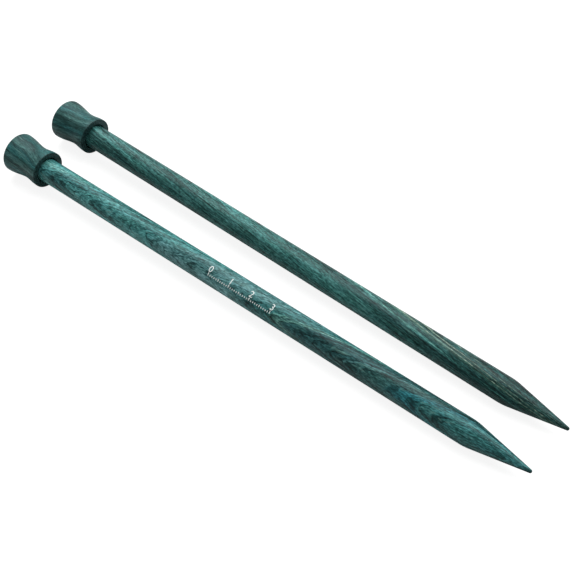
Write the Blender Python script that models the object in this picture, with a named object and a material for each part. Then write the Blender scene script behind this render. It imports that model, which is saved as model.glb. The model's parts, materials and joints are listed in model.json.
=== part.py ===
"""A pair of straight, single-pointed knitting needles in dyed, laminated birch.

Each needle is a turned shaft with a long point. Its plain end is glued into the blind
bore of a turned head, whose collar stops the stitches. The needles lie side by side on
a table, each on the rim of its head and on the shoulder of its point.

Metres, +Z up, +X from the heads to the points. The origin is on the table, under the
middle of the pair.
"""

import math

import bmesh
import bpy
from mathutils import Vector

# Needle
NEEDLE_LENGTH = 0.250  # from the head's end to the point
SHAFT_DIAMETER = 0.010
POINT_LENGTH = 0.024  # from the shoulder's corner, before rounding, to the point
POINT_RADIUS = 0.00072  # the ball at the very point
SHOULDER_RADIUS = 0.022  # where the shaft rounds into the point

# Head
HEAD_LENGTH = 0.0183
HEAD_END_DIAMETER = 0.01706
HEAD_END_ROUND = 0.0008
WAIST_DIAMETER = 0.0145
WAIST_FROM_END = 0.0111
COLLAR_DIAMETER = 0.0158
COLLAR_LAND = 0.0009  # the collar's straight edge, next to its face
COLLAR_EDGE_ROUND = 0.0003

# Joint of head and shaft
SEAT_DEPTH = 0.013  # how deep the bore is
GLUE_GAP = 0.0003  # round the shaft, and under its end
SHAFT_END_CHAMFER = 0.0005
BORE_MOUTH_CHAMFER = 0.0005

# How the pair lies
NEEDLE_SPACING = 0.0265  # between the axes, at the heads
BACK_NEEDLE_LEAD = 0.0017  # how far the back needle lies towards its point
BACK_NEEDLE_TURN = math.radians(-1.1)  # about +Z, its point towards the front needle

# Fineness of the turned surfaces
SEGMENTS = 48
FLANK_STEPS = 9
EDGE_STEPS = 4
SHOULDER_STEPS = 4
POINT_STEPS = 4
SHARP_ANGLE = math.radians(30)
SAME_PLACE = 1e-7

SHAFT_RADIUS = SHAFT_DIAMETER / 2


def arc(centre, radius, start, end, steps):
    """Points (x, r) on an arc, its angles in degrees from +X towards +r."""
    x, r = centre
    angles = [math.radians(start + (end - start) * i / steps) for i in range(steps + 1)]
    return [(x + radius * math.cos(a), r + radius * math.sin(a)) for a in angles]


def eased(start, end, steps):
    """Points (x, r) after start, up to end, on a curve that leaves and arrives level."""
    points = []
    for i in range(1, steps + 1):
        t = i / steps
        x = start[0] + (end[0] - start[0]) * t
        points.append((x, start[1] + (end[1] - start[1]) * t * t * (3 - 2 * t)))
    return points


def head_outline():
    """The head's half section: its outside from the end to the collar, then its bore."""
    end_radius = HEAD_END_DIAMETER / 2
    rim = arc(
        (HEAD_END_ROUND, end_radius - HEAD_END_ROUND), HEAD_END_ROUND, 180, 90, EDGE_STEPS
    )
    waist = (WAIST_FROM_END, WAIST_DIAMETER / 2)
    collar = (HEAD_LENGTH - COLLAR_LAND, COLLAR_DIAMETER / 2)
    edge_centre = (
        HEAD_LENGTH - COLLAR_EDGE_ROUND,
        COLLAR_DIAMETER / 2 - COLLAR_EDGE_ROUND,
    )
    edge = arc(edge_centre, COLLAR_EDGE_ROUND, 90, 0, EDGE_STEPS)
    bore_radius = SHAFT_RADIUS + GLUE_GAP
    bore_end = HEAD_LENGTH - SEAT_DEPTH
    bore = [
        (HEAD_LENGTH, bore_radius + BORE_MOUTH_CHAMFER),
        (HEAD_LENGTH - BORE_MOUTH_CHAMFER, bore_radius),
        (bore_end, bore_radius),
        (bore_end, 0),
    ]
    flank = eased(rim[-1], waist, FLANK_STEPS) + eased(waist, collar, FLANK_STEPS)
    return [(0, 0)] + rim + flank + edge + bore


def point_slope():
    """The half angle of the point, which runs from its corner to touch its ball."""
    along = POINT_LENGTH - POINT_RADIUS
    to_ball = math.hypot(along, SHAFT_RADIUS)
    return math.atan2(SHAFT_RADIUS, along) - math.asin(POINT_RADIUS / to_ball)


def shoulder_start():
    """Where along the needle the shaft stops being straight."""
    tangent_length = SHOULDER_RADIUS * math.tan(point_slope() / 2)
    return NEEDLE_LENGTH - POINT_LENGTH - tangent_length


def shaft_outline():
    """The shaft's half section, from its glued end to its point."""
    seat = HEAD_LENGTH - SEAT_DEPTH + GLUE_GAP
    slope = math.degrees(point_slope())
    shoulder = arc(
        (shoulder_start(), SHAFT_RADIUS - SHOULDER_RADIUS),
        SHOULDER_RADIUS,
        90,
        90 - slope,
        SHOULDER_STEPS,
    )
    ball = arc((NEEDLE_LENGTH - POINT_RADIUS, 0), POINT_RADIUS, 90 - slope, 0, POINT_STEPS)
    glued_end = [
        (seat, 0),
        (seat, SHAFT_RADIUS - SHAFT_END_CHAMFER),
        (seat + SHAFT_END_CHAMFER, SHAFT_RADIUS),
    ]
    return glued_end + shoulder + ball


def wood(name, colour, roughness):
    """A Principled material for dyed and lacquered birch."""
    material = bpy.data.materials.new(name)
    material.use_nodes = True
    shader = material.node_tree.nodes["Principled BSDF"]
    shader.inputs["Base Color"].default_value = (*colour, 1)
    shader.inputs["Roughness"].default_value = roughness
    shader.inputs["Metallic"].default_value = 0
    return material


def turned(name, outline, material, parent):
    """A solid of revolution about the needle's axis, local +X, parented to an empty."""
    shape = bmesh.new()
    points = [shape.verts.new((x, 0, r)) for x, r in outline]
    edges = [shape.edges.new(pair) for pair in zip(points, points[1:])]
    bmesh.ops.spin(
        shape,
        geom=points + edges,
        axis=(1, 0, 0),
        cent=(0, 0, 0),
        angle=math.tau,
        steps=SEGMENTS,
    )
    bmesh.ops.remove_doubles(shape, verts=shape.verts, dist=SAME_PLACE)
    bmesh.ops.recalc_face_normals(shape, faces=shape.faces)
    mesh = bpy.data.meshes.new(name)
    shape.to_mesh(mesh)
    shape.free()
    mesh.shade_smooth()
    mesh.set_sharp_from_angle(angle=SHARP_ANGLE)
    mesh.materials.append(material)
    piece = bpy.data.objects.new(name, mesh)
    bpy.context.collection.objects.link(piece)
    piece.parent = parent
    return piece


def lying_place():
    """How far a needle's axis dips towards its point, and its height at the head's end.

    The needle lies on the shoulder of its point and on whichever part of its head
    tips it most.
    """
    reach = shoulder_start()
    outside = [(x, r) for x, r in head_outline() if r > SHAFT_RADIUS]
    dip, x, r = max(
        (math.asin((r - SHAFT_RADIUS) / (reach - x)), x, r) for x, r in outside
    )
    return dip, r * math.cos(dip) + x * math.sin(dip)


def empty(name, location, rotation, parent):
    """A placing empty at the middle of a needle's head end."""
    holder = bpy.data.objects.new(name, None)
    bpy.context.collection.objects.link(holder)
    holder.parent = parent
    holder.location = location
    holder.rotation_euler = rotation
    return holder


def needle(name, table, place, turn, shaft_wood, head_wood):
    """A shaft and a head on an empty that lays them on the table."""
    dip, height = lying_place()
    holder = empty(f"{name}_needle", (*place, height), (0, dip, turn), table)
    shaft = turned(f"{name}_shaft", shaft_outline(), shaft_wood, holder)
    head = turned(f"{name}_head", head_outline(), head_wood, holder)
    return [shaft, head]


def centre_over_origin(table, pieces):
    """Moves the table so that the pieces lie on z = 0 with the origin under their middle."""
    bpy.context.view_layer.update()
    corners = [
        piece.matrix_world @ vertex.co for piece in pieces for vertex in piece.data.vertices
    ]
    low = Vector(min(corner[axis] for corner in corners) for axis in range(3))
    high = Vector(max(corner[axis] for corner in corners) for axis in range(3))
    middle = (low + high) / 2
    table.location = (-middle.x, -middle.y, -low.z)


def main():
    for thing in list(bpy.data.objects):
        bpy.data.objects.remove(thing)
    teal_shaft = wood("teal_birch", (0.035, 0.150, 0.145), 0.38)
    green_shaft = wood("dark_green_birch", (0.020, 0.070, 0.058), 0.38)
    head_wood = wood("head_birch", (0.026, 0.092, 0.086), 0.45)
    table = empty("table", (0, 0, 0), (0, 0, 0), None)
    pieces = needle("front", table, (0, 0), 0, teal_shaft, head_wood)
    pieces += needle(
        "back",
        table,
        (BACK_NEEDLE_LEAD, NEEDLE_SPACING),
        BACK_NEEDLE_TURN,
        green_shaft,
        head_wood,
    )
    centre_over_origin(table, pieces)


main()
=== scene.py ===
"""The looks of a pair of straight knitting needles: dyed, laminated birch under satin lacquer.

Each needle is a turned shaft glued into a turned head. The wood's figure comes from its
blank: thin dyed veneers that lie nearly along the needle, so that the lathe cuts them
into long streaks and arcs. The front needle carries a printed centimetre scale.

Metres, in the CAD frame. A material's own places are in millimetres along its needle.
"""

import json
import math

import bmesh
import bpy
from mathutils import Matrix, Vector


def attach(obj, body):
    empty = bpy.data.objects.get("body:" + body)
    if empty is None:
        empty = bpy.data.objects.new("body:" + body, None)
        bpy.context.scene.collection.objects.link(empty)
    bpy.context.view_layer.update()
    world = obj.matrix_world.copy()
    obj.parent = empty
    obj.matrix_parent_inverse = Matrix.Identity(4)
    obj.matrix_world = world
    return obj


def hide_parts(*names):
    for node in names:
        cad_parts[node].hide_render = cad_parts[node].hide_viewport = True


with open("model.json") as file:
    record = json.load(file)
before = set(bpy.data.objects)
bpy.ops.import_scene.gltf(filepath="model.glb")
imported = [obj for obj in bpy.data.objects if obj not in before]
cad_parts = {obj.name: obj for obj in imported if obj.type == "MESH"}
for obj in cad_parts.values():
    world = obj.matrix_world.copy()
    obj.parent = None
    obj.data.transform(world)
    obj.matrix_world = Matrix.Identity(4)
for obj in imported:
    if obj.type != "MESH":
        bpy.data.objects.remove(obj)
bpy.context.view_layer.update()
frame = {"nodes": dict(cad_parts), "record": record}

MM = 0.001

# Needle outline. Lengths and diameters that the CAD nodes show are read from them.
POINT_LENGTH = 0.024
POINT_RADIUS = 0.00072
SHOULDER_RADIUS = 0.022
SHAFT_END_CHAMFER = 0.0005
HEAD_END_ROUND = 0.0008
WAIST_DIAMETER = 0.0145
WAIST_FROM_END = 0.0111
COLLAR_DIAMETER = 0.0158
COLLAR_LAND = 0.0009
COLLAR_EDGE_ROUND = 0.0003
GLUE_GAP = 0.0003
BORE_MOUTH_CHAMFER = 0.0005

# Turned surfaces
AROUND = 144  # faces round each
SANDING = 0.000012  # how uneven hand sanding leaves the wood
SANDING_PITCH = 0.007
SHARP_ANGLE = math.radians(30)
SAME_PLACE = 1e-7
QUARTER_TURN = math.pi / 2

# Printed scale
SCALE_START = 0.1107  # its first tick, from the head's end
SCALE_BASE_ANGLE = math.radians(139)  # round the shaft from +Y, where the ticks stand
TICK_COUNT = 31
TICK_PITCH = 0.001
TICKS_A_NUMERAL = 10
TICK_HEIGHT = 0.0012  # of the tallest, at each centimetre
PLAIN_TICK = 0.55  # a millimetre's tick, as a share of the tallest
FIFTH_TICK_MORE = 0.2  # what each fifth tick adds to that
TENTH_TICK_MORE = 0.25  # and what each tenth adds to both
TICK_WIDTH = 0.00036
TICK_ROWS = 9  # places up a tick's side, so that it bends round the shaft
NUMERAL_HEIGHT = 0.0026
NUMERAL_SHARE = 0.7  # of the font's size, the height of its numerals
NUMERAL_GAP = 0.0003
NUMERAL_CUTS = 2  # how often a numeral's face is subdivided, for the same reason
INK_THICKNESS = 0.000015


# Node trees


class Number:
    """A number in a node tree, which Python's signs turn into Math nodes."""

    def __init__(self, tree, socket):
        self.tree = tree
        self.socket = socket

    def __add__(self, other):
        return maths(self.tree, "ADD", self, other)

    def __radd__(self, other):
        return maths(self.tree, "ADD", other, self)

    def __sub__(self, other):
        return maths(self.tree, "SUBTRACT", self, other)

    def __rsub__(self, other):
        return maths(self.tree, "SUBTRACT", other, self)

    def __mul__(self, other):
        return maths(self.tree, "MULTIPLY", self, other)

    def __rmul__(self, other):
        return maths(self.tree, "MULTIPLY", other, self)

    def __truediv__(self, other):
        return maths(self.tree, "DIVIDE", self, other)

    def __neg__(self):
        return maths(self.tree, "MULTIPLY", self, -1.0)


def feed(tree, value, socket):
    """Puts a plain value, a Number or another node's output into an input socket."""
    if isinstance(value, Number):
        value = value.socket
    if isinstance(value, bpy.types.NodeSocket):
        tree.links.new(value, socket)
    else:
        socket.default_value = value


def add(tree, kind, inputs=None, **settings):
    """A node of that kind, with its settings and what goes into its inputs."""
    node = tree.nodes.new(kind)
    for name, value in settings.items():
        setattr(node, name, value)
    for name, value in (inputs or {}).items():
        feed(tree, value, node.inputs[name])
    return node


def maths(tree, operation, *values):
    node = add(tree, "ShaderNodeMath", dict(enumerate(values)), operation=operation)
    return Number(tree, node.outputs[0])


def smooth_step(value, low, high):
    """0 below low and 1 above high, easing between. With low above high it falls."""
    node = add(
        value.tree,
        "ShaderNodeMapRange",
        {"Value": value, "From Min": low, "From Max": high},
        interpolation_type="SMOOTHSTEP",
    )
    return Number(value.tree, node.outputs["Result"])


def split(tree, vector):
    """The three Numbers of a vector."""
    node = add(tree, "ShaderNodeSeparateXYZ", {0: vector})
    return [Number(tree, output) for output in node.outputs]


def joined(tree, x, y, z):
    return add(tree, "ShaderNodeCombineXYZ", {0: x, 1: y, 2: z}).outputs[0]


def new_tree(name, kind, inputs, outputs):
    """A node tree with named inputs {name: (type, default)} and outputs {name: type}.

    Returns the tree, its inputs by name, and its output node.
    """
    tree = bpy.data.node_groups.new(name, kind)
    for title, (socket_type, default) in inputs.items():
        socket = tree.interface.new_socket(
            title, in_out="INPUT", socket_type=f"NodeSocket{socket_type}"
        )
        if default is not None:
            socket.default_value = default
    for title, socket_type in outputs.items():
        tree.interface.new_socket(
            title, in_out="OUTPUT", socket_type=f"NodeSocket{socket_type}"
        )
    source = tree.nodes.new("NodeGroupInput")
    found = {}
    for title, (socket_type, _) in inputs.items():
        output = source.outputs[title]
        found[title] = Number(tree, output) if socket_type == "Float" else output
    return tree, found, tree.nodes.new("NodeGroupOutput")


# Turned shapes


def stretch(tree, rows, outline):
    """One stretch of a turned surface. outline gives (x, r) for a share of it."""
    grid = add(
        tree,
        "GeometryNodeMeshGrid",
        {"Size X": 1.0, "Size Y": 1.0, "Vertices X": rows + 1, "Vertices Y": AROUND + 1},
    )
    across = split(tree, add(tree, "GeometryNodeInputPosition").outputs[0])
    share = across[0] + 0.5
    angle = (across[1] + 0.5) * -math.tau
    x, r = outline(share)
    spot = joined(tree, x, r * maths(tree, "COSINE", angle), r * maths(tree, "SINE", angle))
    moved = add(
        tree, "GeometryNodeSetPosition", {"Geometry": grid.outputs["Mesh"], "Position": spot}
    )
    return moved.outputs[0]


def straight(start, end):
    """An outline that runs straight from (x, r) to (x, r)."""

    def outline(share):
        return (start[0] + share * (end[0] - start[0]), start[1] + share * (end[1] - start[1]))

    return outline


def eased(start, end):
    """An outline that leaves start level and arrives level at end."""

    def outline(share):
        ease = share * share * (3.0 - 2.0 * share)
        return (start[0] + share * (end[0] - start[0]), start[1] + ease * (end[1] - start[1]))

    return outline


def arc(centre, radius, start, end):
    """An outline on an arc, its angles in radians from +X towards +r."""

    def outline(share):
        angle = start + share * (end - start)
        tree = share.tree
        return (
            centre[0] + radius * maths(tree, "COSINE", angle),
            centre[1] + radius * maths(tree, "SINE", angle),
        )

    return outline


def sanded(tree, shape, depth):
    """The shape with the faint unevenness of hand sanding, out from the axis."""
    place = add(tree, "GeometryNodeInputPosition").outputs[0]
    noise = add(
        tree, "ShaderNodeTexNoise", {"Vector": place, "Scale": 1 / SANDING_PITCH, "Detail": 1.0}
    )
    _, y, z = split(tree, place)
    outward = add(
        tree, "ShaderNodeVectorMath", {0: joined(tree, 0.0, y, z)}, operation="NORMALIZE"
    )
    amount = (Number(tree, noise.outputs["Fac"]) - 0.5) * depth * 2.0
    offset = add(
        tree,
        "ShaderNodeVectorMath",
        {0: outward.outputs[0], "Scale": amount},
        operation="SCALE",
    )
    moved = add(
        tree, "GeometryNodeSetPosition", {"Geometry": shape, "Offset": offset.outputs[0]}
    )
    return moved.outputs[0]


def turned_tree(name, sizes, stretches_of):
    """A tree that turns the stretches on +X into one closed, smooth surface."""
    inputs = {title: ("Float", None) for title in sizes}
    inputs["Sanding"] = ("Float", SANDING)
    inputs["Wood"] = ("Material", None)
    tree, given, end = new_tree(name, "GeometryNodeTree", inputs, {"Geometry": "Geometry"})
    gather = tree.nodes.new("GeometryNodeJoinGeometry")
    for rows, outline in stretches_of(given):
        tree.links.new(stretch(tree, rows, outline), gather.inputs[0])
    closed = add(
        tree,
        "GeometryNodeMergeByDistance",
        {"Geometry": gather.outputs[0], "Distance": SAME_PLACE},
    )
    shape = sanded(tree, closed.outputs[0], given["Sanding"])
    smooth = add(tree, "GeometryNodeSetShadeSmooth", {"Geometry": shape})
    real = add(tree, "GeometryNodeRealizeInstances", {"Geometry": smooth.outputs[0]})
    wood = add(
        tree,
        "GeometryNodeSetMaterial",
        {"Geometry": real.outputs[0], "Material": given["Wood"]},
    )
    feed(tree, wood.outputs[0], end.inputs[0])
    return tree


def shaft_stretches(given):
    """A shaft's outline from its glued end to its point, as (rows of faces, outline)."""
    radius = given["Diameter"] / 2.0
    length = given["Length"]
    seat = given["Seat"]
    chamfer = SHAFT_END_CHAMFER
    slope = given["Point Slope"]
    shoulder = given["Shoulder Start"]
    sine = maths(slope.tree, "SINE", slope)
    cosine = maths(slope.tree, "COSINE", slope)
    shoulder_centre = (shoulder, radius - SHOULDER_RADIUS)
    rounded = (
        shoulder + SHOULDER_RADIUS * sine,
        radius - SHOULDER_RADIUS + SHOULDER_RADIUS * cosine,
    )
    ball = length - POINT_RADIUS
    on_ball = (ball + POINT_RADIUS * sine, POINT_RADIUS * cosine)
    return [
        (6, straight((seat, 0.0), (seat, radius - chamfer))),
        (2, straight((seat, radius - chamfer), (seat + chamfer, radius))),
        (220, straight((seat + chamfer, radius), (shoulder, radius))),
        (12, arc(shoulder_centre, SHOULDER_RADIUS, QUARTER_TURN, QUARTER_TURN - slope)),
        (40, straight(rounded, on_ball)),
        (8, arc((ball, 0.0), POINT_RADIUS, QUARTER_TURN - slope, 0.0)),
    ]


def head_stretches(given):
    """A head's outline: its end, its waisted side, its collar, then its bore.

    Each stretch is given as (rows of faces, outline).
    """
    length = given["Length"]
    end_radius = given["End Diameter"] / 2.0
    waist = (given["Waist Place"], given["Waist Diameter"] / 2.0)
    collar_radius = given["Collar Diameter"] / 2.0
    bore_radius = given["Bore Diameter"] / 2.0
    bore_end = length - given["Bore Depth"]
    rim, edge, mouth = HEAD_END_ROUND, COLLAR_EDGE_ROUND, BORE_MOUTH_CHAMFER
    land = (length - COLLAR_LAND, collar_radius)
    return [
        (10, straight((0.0, 0.0), (0.0, end_radius - rim))),
        (8, arc((rim, end_radius - rim), rim, math.pi, QUARTER_TURN)),
        (36, eased((rim, end_radius), waist)),
        (26, eased(waist, land)),
        (3, straight(land, (length - edge, collar_radius))),
        (6, arc((length - edge, collar_radius - edge), edge, QUARTER_TURN, 0.0)),
        (8, straight((length, collar_radius - edge), (length, bore_radius + mouth))),
        (3, straight((length, bore_radius + mouth), (length - mouth, bore_radius))),
        (16, straight((length - mouth, bore_radius), (bore_end, bore_radius))),
        (6, straight((bore_end, bore_radius), (bore_end, 0.0))),
    ]


def made_by(tree, name, values):
    """An object whose plain mesh the tree makes from these values."""
    maker = bpy.data.objects.new(name, bpy.data.meshes.new(f"{name}_start"))
    bpy.context.collection.objects.link(maker)
    modifier = maker.modifiers.new(tree.name, "NODES")
    modifier.node_group = tree
    for item in tree.interface.items_tree:
        if item.in_out == "INPUT" and item.name in values:
            modifier[item.identifier] = values[item.name]
    graph = bpy.context.evaluated_depsgraph_get()
    mesh = bpy.data.meshes.new_from_object(maker.evaluated_get(graph), depsgraph=graph)
    maker.modifiers.remove(modifier)
    start = maker.data
    maker.data = mesh
    mesh.name = name
    bpy.data.meshes.remove(start)
    return maker


def put_in_place(piece, place):
    """Moves the piece's mesh to its place, with its faces pointing out."""
    piece.data.transform(place)
    shape = bmesh.new()
    shape.from_mesh(piece.data)
    bmesh.ops.recalc_face_normals(shape, faces=shape.faces)
    shape.to_mesh(piece.data)
    shape.free()
    piece.data.set_sharp_from_angle(angle=SHARP_ANGLE)
    return piece


# The needles as the CAD has them


class Needle:
    """Where a needle lies and the sizes that its CAD nodes show."""

    def __init__(self, name):
        self.name = name
        mount = next(m for m in frame["record"]["mounts"] if m["name"] == f"{name}_head_end")
        self.head_end = Vector(mount["pos_m"])
        self.axis = -Vector(mount["axis"]).normalized()
        sideways = Vector((0, 0, 1)).cross(self.axis).normalized()
        turn = Matrix((self.axis, sideways, self.axis.cross(sideways))).transposed()
        self.turn = turn
        self.place = Matrix.Translation(self.head_end) @ turn.to_4x4()
        self.shaft_start, self.length, self.shaft_radius = self.extent("shaft")
        _, self.head_length, self.head_radius = self.extent("head")

    def extent(self, part):
        """The node's first and last place along the needle, and its largest radius."""
        inverse = self.place.inverted()
        node = frame["nodes"][f"{self.name}_{part}"]
        spots = [inverse @ vertex.co for vertex in node.data.vertices]
        along = [spot.x for spot in spots]
        return min(along), max(along), max(math.hypot(spot.y, spot.z) for spot in spots)


def shaft_piece(needle, tree, wood):
    along = POINT_LENGTH - POINT_RADIUS
    to_ball = math.hypot(along, needle.shaft_radius)
    slope = math.atan2(needle.shaft_radius, along) - math.asin(POINT_RADIUS / to_ball)
    tangent_length = SHOULDER_RADIUS * math.tan(slope / 2)
    values = {
        "Diameter": 2 * needle.shaft_radius,
        "Length": needle.length,
        "Seat": needle.shaft_start,
        "Point Slope": slope,
        "Shoulder Start": needle.length - POINT_LENGTH - tangent_length,
        "Wood": wood,
    }
    piece = made_by(tree, f"{needle.name}_shaft_wood", values)
    return put_in_place(piece, needle.place)


def head_piece(needle, tree, wood):
    values = {
        "Length": needle.head_length,
        "End Diameter": 2 * needle.head_radius,
        "Waist Place": WAIST_FROM_END,
        "Waist Diameter": WAIST_DIAMETER,
        "Collar Diameter": COLLAR_DIAMETER,
        "Bore Diameter": 2 * (needle.shaft_radius + GLUE_GAP),
        "Bore Depth": needle.head_length - needle.shaft_start + GLUE_GAP,
        "Wood": wood,
    }
    piece = made_by(tree, f"{needle.name}_head_wood", values)
    return put_in_place(piece, needle.place)


# Printed scale


def falls_on(index, every):
    """1 where a whole number is a multiple of every, and 0 elsewhere."""
    rest = maths(index.tree, "MODULO", index, float(every))
    return maths(index.tree, "COMPARE", rest, 0.0, 0.5)


def printed_ticks(tree, given):
    """Upright ticks that stand on one line: long at each tenth, middling at each fifth."""
    slab = add(
        tree,
        "GeometryNodeMeshCube",
        {"Size": joined(tree, given["Tick Width"], given["Tick Height"], given["Ink"])},
    )
    slab.inputs["Vertices Y"].default_value = TICK_ROWS
    standing = add(
        tree,
        "GeometryNodeTransform",
        {
            "Geometry": slab.outputs["Mesh"],
            "Translation": joined(tree, 0.0, given["Tick Height"] / 2.0, given["Ink"] / 2.0),
        },
    )
    line = add(
        tree,
        "GeometryNodeMeshLine",
        {"Count": TICK_COUNT, "Offset": joined(tree, given["Pitch"], 0.0, 0.0)},
    )
    index = Number(tree, add(tree, "GeometryNodeInputIndex").outputs[0])
    fifth = falls_on(index, TICKS_A_NUMERAL / 2)
    tenth = falls_on(index, TICKS_A_NUMERAL)
    share = PLAIN_TICK + fifth * FIFTH_TICK_MORE + tenth * TENTH_TICK_MORE
    ticks = add(
        tree,
        "GeometryNodeInstanceOnPoints",
        {
            "Points": line.outputs["Mesh"],
            "Instance": standing.outputs[0],
            "Scale": joined(tree, 1.0, share, 1.0),
        },
    )
    return ticks.outputs[0]


def printed_numeral(tree, given, number):
    """A closed, thin numeral above its tick."""
    text = add(
        tree,
        "GeometryNodeStringToCurves",
        {"String": str(number), "Size": given["Numeral Height"] / NUMERAL_SHARE},
        align_x="CENTER",
    )
    outline = add(tree, "GeometryNodeRealizeInstances", {"Geometry": text.outputs[0]})
    flat = add(tree, "GeometryNodeFillCurve", {"Curve": outline.outputs[0]})
    fine = add(
        tree, "GeometryNodeSubdivideMesh", {"Mesh": flat.outputs[0], "Level": NUMERAL_CUTS}
    )
    raised = add(
        tree,
        "GeometryNodeExtrudeMesh",
        {
            "Mesh": fine.outputs[0],
            "Offset": joined(tree, 0.0, 0.0, 1.0),
            "Offset Scale": given["Ink"],
            "Individual": False,
        },
    )
    under = add(tree, "GeometryNodeFlipFaces", {"Mesh": fine.outputs[0]})
    gather = tree.nodes.new("GeometryNodeJoinGeometry")
    tree.links.new(raised.outputs[0], gather.inputs[0])
    tree.links.new(under.outputs[0], gather.inputs[0])
    along = given["Pitch"] * float(TICKS_A_NUMERAL * number)
    spot = joined(tree, along, given["Tick Height"] + NUMERAL_GAP, 0.0)
    numeral = add(
        tree, "GeometryNodeTransform", {"Geometry": gather.outputs[0], "Translation": spot}
    )
    return numeral.outputs[0]


def printed_scale_tree():
    """Ticks and numerals, made flat and wrapped round the shaft."""
    sizes = ("Start", "Base Angle", "Radius", "Pitch")
    sizes += ("Tick Height", "Tick Width", "Numeral Height", "Ink")
    inputs = {title: ("Float", None) for title in sizes}
    inputs["Colour"] = ("Material", None)
    tree, given, end = new_tree(
        "Printed scale", "GeometryNodeTree", inputs, {"Geometry": "Geometry"}
    )
    gather = tree.nodes.new("GeometryNodeJoinGeometry")
    tree.links.new(printed_ticks(tree, given), gather.inputs[0])
    for number in range(math.ceil(TICK_COUNT / TICKS_A_NUMERAL)):
        tree.links.new(printed_numeral(tree, given, number), gather.inputs[0])
    real = add(tree, "GeometryNodeRealizeInstances", {"Geometry": gather.outputs[0]})
    merged = add(
        tree,
        "GeometryNodeMergeByDistance",
        {"Geometry": real.outputs[0], "Distance": SAME_PLACE},
    )
    x, y, z = split(tree, add(tree, "GeometryNodeInputPosition").outputs[0])
    angle = given["Base Angle"] - y / given["Radius"]
    reach = given["Radius"] + z
    spot = joined(
        tree,
        given["Start"] + x,
        reach * maths(tree, "COSINE", angle),
        reach * maths(tree, "SINE", angle),
    )
    wrapped = add(
        tree, "GeometryNodeSetPosition", {"Geometry": merged.outputs[0], "Position": spot}
    )
    inked = add(
        tree,
        "GeometryNodeSetMaterial",
        {"Geometry": wrapped.outputs[0], "Material": given["Colour"]},
    )
    feed(tree, inked.outputs[0], end.inputs[0])
    return tree


def scale_piece(needle, ink):
    values = {
        "Start": SCALE_START,
        "Base Angle": SCALE_BASE_ANGLE,
        "Radius": needle.shaft_radius + SANDING,
        "Pitch": TICK_PITCH,
        "Tick Height": TICK_HEIGHT,
        "Tick Width": TICK_WIDTH,
        "Numeral Height": NUMERAL_HEIGHT,
        "Ink": INK_THICKNESS,
        "Colour": ink,
    }
    piece = made_by(printed_scale_tree(), "printed_scale", values)
    return put_in_place(piece, needle.place)


# What the materials share

# How much each part of the figure lightens a veneer's dye, or darkens it
PLAIN_LIGHTNESS = 0.30
LIGHTENING = {
    "rings": 2.6,
    "fibres": 2.1,
    "flecks": 2.2,
    "clouds": 0.8,
    "lines": -1.4,
    "pores": -0.7,
}
LIGHT_LIMIT = 0.3  # how soon the lightest wood stops growing lighter
RED_POWER = 1.3  # red grows and fades with the lightness to this power
GREEN_DRIFT = 0.3  # what a drift towards blue takes from green
PALE_BIRCH = (0.170, 0.360, 0.320)  # where the grain hardly takes the dye
PALE_SHARE = 0.55  # how far the wood goes towards that


def noise_at(tree, x, y, z, detail=1.0, roughness=0.5):
    """Noise from about -1 to 1 at a place given in the noise's own pitch.

    Where this is called, each part of a place is divided by the noise's pitch that way.
    """
    node = add(
        tree,
        "ShaderNodeTexNoise",
        {"Vector": joined(tree, x, y, z), "Scale": 1.0, "Detail": detail, "Roughness": roughness},
    )
    return (Number(tree, node.outputs["Fac"]) - 0.5) * 2.0


def veneer_figure_group():
    """Wavy veneers and the grain inside them, from a place in the blank in millimetres.

    The place's x runs along the grain, y sideways and z across the veneers.
    """
    inputs = {
        "Blank Place": ("Vector", None),
        "Wave Height": ("Float", 0.6),
        "Curl Height": ("Float", 0.3),
        "Seed": ("Float", 0.0),
    }
    outputs = dict.fromkeys(("Across", "Lightness", "Clouds", "Fibres", "Pores", "Pale"), "Float")
    tree, given, end = new_tree("Veneer figure", "ShaderNodeTree", inputs, outputs)
    x, y, z = split(tree, given["Blank Place"])
    seed = given["Seed"]
    wave = noise_at(tree, x / 16.0 + seed, y / 6.5, z / 6.5)
    curl = noise_at(tree, x / 5.0 - seed, y / 2.5, z / 2.5, detail=2.0)
    ripple = noise_at(tree, x / 2.2, y / 1.1 + seed, z / 1.1, detail=2.0)
    across = z + wave * given["Wave Height"] + curl * given["Curl Height"] + ripple * 0.12
    rings = noise_at(tree, x / 40.0 + seed, y / 9.0, across / 0.8, detail=4.0, roughness=0.8)
    contour = noise_at(tree, x / 50.0 - seed, y / 14.0, across / 0.9 + seed, detail=1.0)
    lines = smooth_step(maths(tree, "ABSOLUTE", contour), 0.10, 0.0)
    fibres = noise_at(tree, x / 5.0 - seed, y / 0.6, z / 0.6, detail=3.0, roughness=0.8)
    pores = noise_at(tree, x / 1.6 + seed, y / 0.3, z / 0.3, detail=1.0)
    pores = smooth_step(pores, 0.16, 0.4)
    flecks = noise_at(tree, x / 1.6 + seed, y / 0.42, z / 0.42, detail=1.0)
    clouds = noise_at(tree, x / 8.0, y / 2.2 + seed, across / 1.5, detail=2.0, roughness=0.6)
    pale = noise_at(tree, x / 16.0 - seed, y / 1.6, across / 0.5 - seed, detail=3.0)
    parts = {
        "rings": rings,
        "fibres": fibres,
        "flecks": flecks,
        "clouds": clouds,
        "lines": lines,
        "pores": pores,
    }
    lightness = PLAIN_LIGHTNESS
    for part, amount in LIGHTENING.items():
        lightness = lightness + parts[part] * amount
    feed(tree, across, end.inputs["Across"])
    feed(tree, lightness, end.inputs["Lightness"])
    feed(tree, clouds, end.inputs["Clouds"])
    feed(tree, fibres, end.inputs["Fibres"])
    feed(tree, pores, end.inputs["Pores"])
    feed(tree, smooth_step(pale, 0.15, 0.55), end.inputs["Pale"])
    return tree


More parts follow.
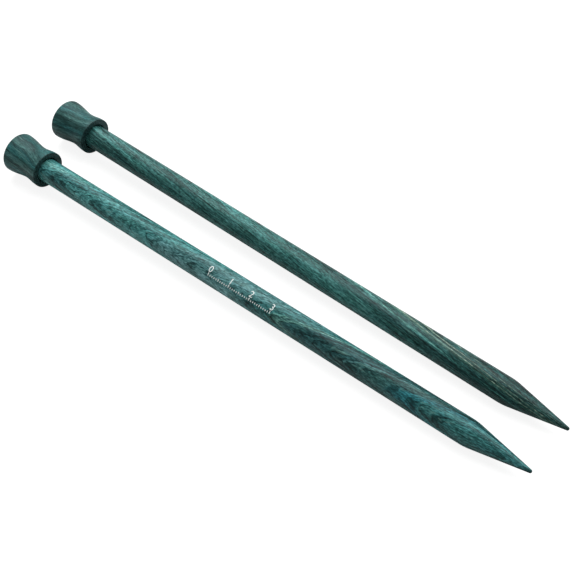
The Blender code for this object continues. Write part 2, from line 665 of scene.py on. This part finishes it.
def dye_uptake_group():
    """A veneer's dye as its grain takes it up, darker in some places than in others."""
    inputs = {
        "Dye": ("Color", None),
        "Lightness": ("Float", 0.0),
        "Clouds": ("Float", 0.0),
        "Pale": ("Float", 0.0),
        "Contrast": ("Float", 1.0),
        "Blue Drift": ("Float", 0.1),
    }
    tree, given, end = new_tree("Dye uptake", "ShaderNodeTree", inputs, {"Colour": "Color"})
    light = maths(tree, "EXPONENT", given["Lightness"] * given["Contrast"])
    light = light * (1.0 + LIGHT_LIMIT) / (light * LIGHT_LIMIT + 1.0)
    red = maths(tree, "POWER", light, RED_POWER)
    drift = given["Clouds"] * given["Blue Drift"]
    tint = joined(tree, red, light * (1.0 - drift * GREEN_DRIFT), light * (1.0 + drift))
    stained = add(
        tree, "ShaderNodeVectorMath", {0: given["Dye"], 1: tint}, operation="MULTIPLY"
    )
    washed = add(
        tree,
        "ShaderNodeMix",
        {0: given["Pale"] * PALE_SHARE, 6: stained.outputs[0], 7: (*PALE_BIRCH, 1.0)},
        data_type="RGBA",
    )
    feed(tree, washed.outputs[2], end.inputs["Colour"])
    return tree


def end_grain_group():
    """Where the wood is cut across its grain, and a dark rim round that cut: dye soaked in, and
    painted shade where a rim turns away from the light, as at a head's far end.
    """
    inputs = {
        "Needle Axis": ("Vector", None),
        "Along": ("Float", 0.0),
        "First Rim": ("Float", 0.0),
        "Second Rim": ("Float", 0.0),
        "Reach": ("Float", 1.0),
    }
    tree, given, end = new_tree("End grain", "ShaderNodeTree", inputs, {"Mask": "Float"})
    normal = add(tree, "ShaderNodeTexCoord").outputs["Normal"]
    facing = add(
        tree, "ShaderNodeVectorMath", {0: normal, 1: given["Needle Axis"]}, operation="DOT_PRODUCT"
    )
    facing = maths(tree, "ABSOLUTE", Number(tree, facing.outputs["Value"]))
    cut = smooth_step(facing, 0.45, 0.8)
    first = maths(tree, "ABSOLUTE", given["Along"] - given["First Rim"])
    second = maths(tree, "ABSOLUTE", given["Along"] - given["Second Rim"])
    nearest = maths(tree, "MINIMUM", first, second) / given["Reach"]
    # Dark rim round each cut: dye soaked in, and painted shade where a rim turns away from the
    # light, as at a head's far end.
    soaked_and_shaded = smooth_step(nearest, 1.0, 0.2)
    feed(tree, maths(tree, "MAXIMUM", cut, soaked_and_shaded), end.inputs["Mask"])
    return tree


def handling_wear_group():
    """Rims rubbed by use and lightened further as a painted highlight, and the patches where
    fingers have polished the lacquer.
    """
    inputs = {
        "Needle Place": ("Vector", None),
        "First Edge": ("Float", 0.0),
        "Second Edge": ("Float", 0.0),
        "Reach": ("Float", 0.5),
    }
    outputs = {"Edges": "Float", "Polish": "Float"}
    tree, given, end = new_tree("Handling wear", "ShaderNodeTree", inputs, outputs)
    x, y, z = split(tree, given["Needle Place"])
    first = maths(tree, "ABSOLUTE", x - given["First Edge"])
    second = maths(tree, "ABSOLUTE", x - given["Second Edge"])
    nearest = maths(tree, "MINIMUM", first, second) / given["Reach"]
    broken = noise_at(tree, x / 0.7, y / 0.7, z / 0.7, detail=3.0, roughness=0.7)
    # Lighter rims: rubbed by use, and also a painted highlight where the rims catch the light.
    edges = smooth_step(nearest, 1.0, 0.0) * smooth_step(broken, -0.2, 0.5)
    polish = noise_at(tree, x / 9.0, y / 4.0, z / 4.0, detail=2.0)
    feed(tree, edges, end.inputs["Edges"])
    feed(tree, polish, end.inputs["Polish"])
    return tree


def satin_lacquer_group():
    """Roughness and height of a thin satin lacquer that sinks into the grain."""
    inputs = {
        "Fibres": ("Float", 0.0),
        "Pores": ("Float", 0.0),
        "Polish": ("Float", 0.0),
        "Bare": ("Float", 0.0),
        "Plain Roughness": ("Float", 0.4),
    }
    outputs = {"Roughness": "Float", "Height": "Float"}
    tree, given, end = new_tree("Satin lacquer", "ShaderNodeTree", inputs, outputs)
    rough = given["Plain Roughness"] - given["Polish"] * 0.05 + given["Fibres"] * 0.06
    rough = rough + given["Pores"] * 0.12 + given["Bare"] * 0.2
    height = given["Fibres"] * 0.5 - given["Pores"] * 0.9
    feed(tree, rough, end.inputs["Roughness"])
    feed(tree, height, end.inputs["Height"])
    return tree


# Materials

LACQUER_TINT = (0.84, 0.97, 1.0, 1.0)
LACQUER_RELIEF = 0.00003
END_GRAIN_AND_SHADE_SHARE = 0.95  # how far end grain and the darkened rims go towards their own dye; on a head's far end rim this is painted shade
RUBBED_AND_HIGHLIT_SHARE = 0.5  # how far a rim goes towards its rubbed colour: real wear, and a painted highlight along the rims

# Where along a needle its point grows darker, in millimetres
DIP_START = 180.0
DIP_END = 232.0

WHITE_INK = (0.74, 0.80, 0.78, 1.0)
THIN_INK = (0.40, 0.55, 0.54, 1.0)
INK_RELIEF = 0.00001


def new_material(name, **uniform):
    """A material with its Principled shader, whose plain values are given by socket name."""
    material = bpy.data.materials.new(name)
    material.use_nodes = True
    shader = material.node_tree.nodes["Principled BSDF"]
    for title, value in uniform.items():
        shader.inputs[title.replace("_", " ")].default_value = value
    return material, material.node_tree, shader


def use_group(tree, group, inputs):
    """The outputs of a group that is given these inputs."""
    return add(tree, "ShaderNodeGroup", inputs, node_tree=group).outputs


def mixed(tree, share, first, second):
    """A share of the second colour over the first."""
    node = add(tree, "ShaderNodeMix", {0: share, 6: first, 7: second}, data_type="RGBA")
    return node.outputs[2]


def veneer_ramp(tree, across, veneers):
    """The dye at a place across the veneers, from [(place in millimetres, dye)]."""
    first, last = veneers[0][0], veneers[-1][0]
    share = (across - first) / (last - first)
    node = add(tree, "ShaderNodeValToRGB", {0: share})
    ramp = node.color_ramp
    ramp.interpolation = "LINEAR"
    while len(ramp.elements) < len(veneers):
        ramp.elements.new(1.0)
    for element, (place, dye) in zip(ramp.elements, veneers):
        element.position = (place - first) / (last - first)
        element.color = (*dye, 1.0)
    return node.outputs["Color"]


def blank_turn(lean, slope):
    """How a blank's own axes lie in the needle: X along its grain and Z across its veneers.

    lean is where the veneers face, round the needle from +Y, and slope is how much they
    tip towards the point.
    """
    lean, slope = math.radians(lean), math.radians(slope)
    facing = Vector((0, math.cos(lean), math.sin(lean)))
    along = Vector((1, 0, 0))
    across = math.cos(slope) * facing + math.sin(slope) * along
    grain = math.cos(slope) * along - math.sin(slope) * facing
    return Matrix((grain, across.cross(grain), across)).transposed()


def placed(tree, vector, turn, location=(0, 0, 0), scale=1.0):
    """The vector in the axes that turn, location and scale describe."""
    node = add(tree, "ShaderNodeMapping", {"Vector": vector}, vector_type="TEXTURE")
    node.inputs["Location"].default_value = location
    node.inputs["Rotation"].default_value = turn.to_euler()
    node.inputs["Scale"].default_value = (scale, scale, scale)
    return node.outputs[0]


def place_in_needle(tree, needle):
    """Where the shaded point lies in the needle, in millimetres."""
    own = add(tree, "ShaderNodeTexCoord").outputs["Object"]
    return placed(tree, own, needle.turn, needle.head_end, MM)


def figure_of(tree, needle_place, group, blank):
    """The outputs of the veneer figure group for a blank."""
    inputs = {
        "Blank Place": placed(tree, needle_place, blank_turn(blank["lean"], blank["slope"])),
        "Wave Height": blank["wave"],
        "Curl Height": blank["curl"],
        "Seed": blank["seed"],
    }
    return use_group(tree, group, inputs)


def dyed_sides_and_ends(tree, along, figure, group, blank, end_grain_and_shade):
    """The colours of a blank's sides and of its end grain, whose dark colour is also painted shade
    on a head's far end rim.
    """
    dipped = smooth_step(along, DIP_START, DIP_END) * blank["dip"]
    uptake = {
        "Lightness": Number(tree, figure["Lightness"]) - dipped,
        "Clouds": figure["Clouds"],
        "Contrast": blank["contrast"],
        "Blue Drift": blank["drift"],
    }
    dye = veneer_ramp(tree, Number(tree, figure["Across"]), blank["veneers"])
    end_and_shade_dye = mixed(tree, end_grain_and_shade["layers"], (*end_grain_and_shade["dye"], 1.0), dye)
    sides = use_group(tree, group, {"Dye": dye, "Pale": figure["Pale"], **uptake})[0]
    end_colour_and_shade = use_group(tree, group, {"Dye": end_and_shade_dye, **uptake})[0]
    return sides, end_colour_and_shade


def lacquered(tree, shader, group, figure, wear_and_highlight, roughness):
    """Gives the shader the satin lacquer's roughness and relief."""
    lacquer = use_group(
        tree,
        group,
        {
            "Fibres": figure["Fibres"],
            "Pores": figure["Pores"],
            "Polish": wear_and_highlight["Polish"],
            "Bare": wear_and_highlight["Edges"],
            "Plain Roughness": roughness,
        },
    )
    bump = add(
        tree,
        "ShaderNodeBump",
        {"Height": lacquer["Height"], "Strength": 0.6, "Distance": LACQUER_RELIEF},
    )
    feed(tree, lacquer["Roughness"], shader.inputs["Roughness"])
    feed(tree, bump.outputs[0], shader.inputs["Normal"])


def dyed_birch(name, needle, groups, blank, edges, end_grain_and_shade):
    """Laminated birch of one blank, dyed veneer by veneer and lacquered.

    edges are the two places along the needle, in millimetres, where the piece is cut
    across its grain. end_grain_and_shade says how far the dark rim there reaches, its dye,
    and how much of the veneers still shows in it. That rim is dye soaked into the cut, and
    on a head's far end it is also painted shade.
    """
    material, tree, shader = new_material(
        name,
        Specular_IOR_Level=0.19,
        Specular_Tint=LACQUER_TINT,
        Coat_Weight=0.04,
        Coat_Roughness=0.2,
    )
    needle_place = place_in_needle(tree, needle)
    along = split(tree, needle_place)[0]
    figure = figure_of(tree, needle_place, groups["figure"], blank)
    sides, end_colour_and_shade = dyed_sides_and_ends(tree, along, figure, groups["uptake"], blank, end_grain_and_shade)
    cut = use_group(
        tree,
        groups["end grain"],
        {
            "Needle Axis": tuple(needle.axis),
            "Along": along,
            "First Rim": edges[0],
            "Second Rim": edges[1],
            "Reach": end_grain_and_shade["reach"],
        },
    )[0]
    wear_and_highlight = use_group(
        tree,
        groups["wear_and_highlight"],
        {"Needle Place": needle_place, "First Edge": edges[0], "Second Edge": edges[1]},
    )
    # Rims lightened towards the rubbed colour: real wear, and a painted highlight along the rims.
    rubbed_and_highlit = Number(tree, wear_and_highlight["Edges"]) * RUBBED_AND_HIGHLIT_SHARE
    # End grain and the darkened rims; on a head's far end rim the darkening is painted shade.
    soaked_and_shaded = Number(tree, cut) * END_GRAIN_AND_SHADE_SHARE
    colour = mixed(tree, rubbed_and_highlit, mixed(tree, soaked_and_shaded, sides, end_colour_and_shade), (*blank["worn_rim_and_highlight"], 1.0))
    feed(tree, colour, shader.inputs["Base Color"])
    lacquered(tree, shader, groups["lacquer"], figure, wear_and_highlight, blank["roughness"])
    return material


# Dyes, as linear colours
TEAL = (0.034, 0.150, 0.148)
LIGHT_TEAL = (0.050, 0.195, 0.188)
PALE_TEAL = (0.110, 0.290, 0.250)
GREY_TEAL = (0.064, 0.178, 0.180)
DARK_TEAL = (0.022, 0.104, 0.104)
DEEP_TEAL = (0.014, 0.063, 0.064)
BLUE_TEAL = (0.018, 0.125, 0.140)
BROWN_TEAL = (0.019, 0.073, 0.070)
GREEN = (0.026, 0.105, 0.097)
LIGHT_GREEN = (0.038, 0.156, 0.144)
GREY_GREEN = (0.045, 0.125, 0.118)
DARK_GREEN = (0.016, 0.068, 0.064)
DEEP_GREEN = (0.012, 0.048, 0.046)
MOSS = (0.030, 0.095, 0.075)
CREAM = (0.230, 0.320, 0.250)
# Near-black end grain of the heads, also used as painted shade on a head's far end rim.
SOAKED_AND_SHADED_GREEN = (0.003, 0.011, 0.010)


# The blanks. A blank's lean and slope are those of blank_turn, in degrees. Its veneers are
# (place across them in millimetres, dye), and the dye runs evenly from each to the next.
# They wander by wave and curl, in millimetres. contrast is how strongly the grain shows,
# drift how far its clouds turn blue, dip how much darker the point is, and worn_rim_and_highlight
# the colour of its rubbed edges, which also paints a highlight along the rims.

HEAD_VENEER_START = -9.0
HEAD_VENEER_PITCH = 1.4


def front_shaft_blank():
    """Facing up and to the front, so that its figure runs in broad, curly arcs there."""
    veneers = [
        (2.0, DARK_TEAL),
        (4.9, LIGHT_TEAL),
        (5.1, PALE_TEAL),
        (5.3, TEAL),
        (5.9, LIGHT_TEAL),
        (6.1, PALE_TEAL),
        (6.3, LIGHT_TEAL),
        (8.2, DARK_TEAL),
        (9.6, LIGHT_TEAL),
        (11.1, TEAL),
        (12.6, LIGHT_TEAL),
        (14.0, TEAL),
        (15.2, GREY_TEAL),
        (18.8, GREY_TEAL),
        (20.6, DARK_TEAL),
        (21.7, TEAL),
        (21.9, PALE_TEAL),
        (22.1, DEEP_TEAL),
        (22.4, PALE_TEAL),
        (22.6, DEEP_TEAL),
        (24.2, DEEP_TEAL),
        (25.6, DEEP_TEAL),
        (25.8, GREY_TEAL),
        (26.0, BROWN_TEAL),
        (27.6, BROWN_TEAL),
        (28.1, BLUE_TEAL),
        (28.6, BLUE_TEAL),
        (29.3, TEAL),
        (30.3, DARK_TEAL),
        (31.2, TEAL),
        (32.4, DARK_TEAL),
        (36.0, TEAL),
    ]
    return {
        "lean": 140,
        "slope": 6.8,
        "veneers": veneers,
        "wave": 0.8,
        "curl": 0.33,
        "seed": 3.0,
        "contrast": 0.9,
        "drift": 0.07,
        "dip": 0.35,
        "roughness": 0.36,
        "worn_rim_and_highlight": LIGHT_TEAL,
    }


def back_shaft_blank():
    """Facing up and to the back, so that straight streaks slant along its front side."""
    veneers = [
        (-5.0, DARK_GREEN),
        (0.0, GREEN),
        (2.0, DARK_GREEN),
        (4.0, GREEN),
        (5.2, LIGHT_GREEN),
        (6.0, GREEN),
        (12.0, GREEN),
        (13.5, LIGHT_GREEN),
        (14.6, LIGHT_GREEN),
        (16.2, GREEN),
        (17.6, GREEN),
        (18.8, DARK_GREEN),
        (20.2, DEEP_GREEN),
        (20.9, GREEN),
        (21.2, LIGHT_GREEN),
        (21.35, PALE_TEAL),
        (21.5, GREEN),
        (22.4, DARK_GREEN),
        (23.4, MOSS),
        (23.6, CREAM),
        (23.75, DARK_GREEN),
        (24.4, MOSS),
        (24.6, CREAM),
        (24.75, DARK_GREEN),
        (25.1, DARK_GREEN),
        (25.8, GREEN),
        (25.95, CREAM),
        (26.1, DARK_GREEN),
        (27.2, GREEN),
        (28.2, DEEP_GREEN),
        (31.0, DEEP_GREEN),
    ]
    return {
        "lean": 38,
        "slope": 6.0,
        "veneers": veneers,
        "wave": 0.4,
        "curl": 0.22,
        "seed": 11.0,
        "contrast": 0.9,
        "drift": 0.08,
        "dip": 1.0,
        "roughness": 0.36,
        "worn_rim_and_highlight": LIGHT_GREEN,
    }


def head_blank(lean, slope, seed):
    """Grey, green and teal veneers in turn, each melting into the next."""
    order = [DARK_TEAL, DEEP_GREEN, GREY_GREEN, DEEP_TEAL, DARK_TEAL, DARK_GREEN, DEEP_GREEN]
    order += [GREY_GREEN, DARK_GREEN, DARK_TEAL, DEEP_TEAL, GREY_GREEN, DEEP_GREEN, DARK_TEAL]
    veneers = [
        (HEAD_VENEER_START + HEAD_VENEER_PITCH * i, dye) for i, dye in enumerate(order)
    ]
    return {
        "lean": lean,
        "slope": slope,
        "veneers": veneers,
        "wave": 0.8,
        "curl": 0.5,
        "seed": seed,
        "contrast": 0.5,
        "drift": 0.08,
        "dip": 0.0,
        "roughness": 0.46,
        "worn_rim_and_highlight": GREY_TEAL,
    }


def printed_ink(needle, groups):
    """White ink, thin enough that the grain under it shows a little."""
    material, tree, shader = new_material("printed_ink", Specular_IOR_Level=0.3)
    needle_place = place_in_needle(tree, needle)
    x, y, z = split(tree, needle_place)
    mottle = noise_at(tree, x / 0.8, y / 0.25, z / 0.25, detail=3.0, roughness=0.7)
    thin = smooth_step(mottle, 0.0, 0.8) * 0.5
    colour = mixed(tree, thin, WHITE_INK, THIN_INK)
    wear_and_highlight = use_group(tree, groups["wear_and_highlight"], {"Needle Place": needle_place})
    bump = add(
        tree, "ShaderNodeBump", {"Height": mottle, "Strength": 0.4, "Distance": INK_RELIEF}
    )
    feed(tree, colour, shader.inputs["Base Color"])
    feed(tree, 0.5 - Number(tree, wear_and_highlight["Polish"]) * 0.06, shader.inputs["Roughness"])
    feed(tree, bump.outputs[0], shader.inputs["Normal"])
    return material


# The pair


def dress(needle, trees, shaft_wood, head_wood, shaft_slot):
    """Stands finished wood in for a needle's two CAD nodes."""
    shaft = shaft_piece(needle, trees["shaft"], shaft_wood)
    head = head_piece(needle, trees["head"], head_wood)
    for piece, part, slot in ((shaft, "shaft", shaft_slot), (head, "head", "head_birch")):
        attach(piece, f"{needle.name}_needle")
        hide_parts(f"{needle.name}_{part}")


def shared_groups():
    return {
        "figure": veneer_figure_group(),
        "uptake": dye_uptake_group(),
        "end grain": end_grain_group(),
        "wear_and_highlight": handling_wear_group(),
        "lacquer": satin_lacquer_group(),
    }


def turned_trees():
    shaft_sizes = ("Diameter", "Length", "Seat", "Point Slope", "Shoulder Start")
    head_sizes = ("Length", "End Diameter", "Waist Place", "Waist Diameter")
    head_sizes += ("Collar Diameter", "Bore Diameter", "Bore Depth")
    return {
        "shaft": turned_tree("Turned shaft", shaft_sizes, shaft_stretches),
        "head": turned_tree("Turned head", head_sizes, head_stretches),
    }


def make_pair():
    groups = shared_groups()
    trees = turned_trees()
    front, back = Needle("front"), Needle("back")
    shaft_edges = (front.shaft_start / MM, front.length / MM)
    head_edges = (0.0, front.head_length / MM)
    shaft_ends = {"reach": 0.8, "dye": DEEP_TEAL, "layers": 0.2}
    # The heads' dark rims: soaked dye, and painted shade round the far end, which turns away from
    # the light.
    head_ends_and_shade = {"reach": 0.6, "dye": SOAKED_AND_SHADED_GREEN, "layers": 0.14}
    front_wood = dyed_birch(
        "teal_birch", front, groups, front_shaft_blank(), shaft_edges, shaft_ends
    )
    back_wood = dyed_birch(
        "dark_green_birch", back, groups, back_shaft_blank(), shaft_edges, shaft_ends
    )
    front_head_wood = dyed_birch(
        "front_head_birch", front, groups, head_blank(55, 9, 5.0), head_edges, head_ends_and_shade
    )
    back_head_wood = dyed_birch(
        "back_head_birch", back, groups, head_blank(35, -7, 8.0), head_edges, head_ends_and_shade
    )
    dress(front, trees, front_wood, front_head_wood, "teal_birch")
    dress(back, trees, back_wood, back_head_wood, "dark_green_birch")
    scale = scale_piece(front, printed_ink(front, groups))
    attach(scale, "front_needle")


# Studio

PAPER_RADIUS = 3.0
PAPER_TONE = 0.62
PAPER_MOTTLE = 0.01
PAPER_MOTTLE_PITCH = 0.02
PAPER_GLOW = 0.87  # so that the pair's shadow looks faint
PAPER_TONE_UNDER_GLOW = 0.39  # what the glow takes from the paper's own tone
ROOM_LIGHT = 0.30


def paper_floor():
    """A wide sheet of white paper, faintly mottled."""
    bpy.ops.mesh.primitive_circle_add(vertices=96, radius=PAPER_RADIUS, fill_type="NGON")
    floor = bpy.context.object
    floor.name = "paper_floor"
    material, tree, shader = new_material("white_paper", Roughness=0.9)
    own = add(tree, "ShaderNodeTexCoord").outputs["Object"]
    x, y, z = split(tree, own)
    mottle = noise_at(tree, x / PAPER_MOTTLE_PITCH, y / PAPER_MOTTLE_PITCH, z, detail=3.0)
    seen = Number(tree, add(tree, "ShaderNodeLightPath").outputs["Is Camera Ray"])
    tone = PAPER_TONE + mottle * PAPER_MOTTLE - seen * PAPER_TONE_UNDER_GLOW
    feed(tree, joined(tree, tone, tone, tone), shader.inputs["Base Color"])
    feed(tree, seen * PAPER_GLOW, shader.inputs["Emission Strength"])
    shader.inputs["Emission Color"].default_value = (1, 1, 1, 1)
    floor.data.materials.append(material)


def soft_light(name, elevation, azimuth, distance, size, watts):
    """A soft box that faces the pair. Azimuth 0 is behind the pair, towards +Y."""
    light = bpy.data.lights.new(name, "AREA")
    light.shape = "RECTANGLE"
    light.size, light.size_y = size
    light.energy = watts
    lamp = bpy.data.objects.new(name, light)
    rise, turn = math.radians(elevation), math.radians(azimuth)
    direction = Vector(
        (math.sin(turn) * math.cos(rise), math.cos(turn) * math.cos(rise), math.sin(rise))
    )
    lamp.location = direction * distance
    lamp.rotation_euler = direction.to_track_quat("Z", "Y").to_euler()
    bpy.context.collection.objects.link(lamp)


def dim_room():
    """A world that lights dimly and looks white."""
    world = bpy.data.worlds.new("room")
    bpy.context.scene.world = world
    world.use_nodes = True
    tree = world.node_tree
    background = tree.nodes["Background"]
    background.inputs["Color"].default_value = (1, 1, 1, 1)
    seen = Number(tree, add(tree, "ShaderNodeLightPath").outputs["Is Camera Ray"])
    feed(tree, ROOM_LIGHT + seen * (1.0 - ROOM_LIGHT), background.inputs["Strength"])


def camera():
    """Looks down along the needles from beyond their points, as in a catalogue."""
    eye = Vector((0.18138, -0.19157, 0.32630))
    aim = Vector((0.00802, 0.00228, 0.0))
    roll = math.radians(-4.13)
    lens = bpy.data.cameras.new("camera")
    lens.lens = 67.54
    lens.sensor_width = 36.0
    lens.clip_start = 0.01
    body = bpy.data.objects.new("camera", lens)
    turn = (aim - eye).to_track_quat("-Z", "Y").to_matrix() @ Matrix.Rotation(roll, 3, "Z")
    body.matrix_world = Matrix.Translation(eye) @ turn.to_4x4()
    bpy.context.collection.objects.link(body)
    bpy.context.scene.camera = body


def studio():
    paper_floor()
    soft_light(
        "overhead_box", elevation=57, azimuth=-20, distance=1.1, size=(1.6, 1.2), watts=20.5
    )
    dim_room()
    camera()
    bpy.context.scene.view_settings.view_transform = "Standard"


make_pair()
studio()
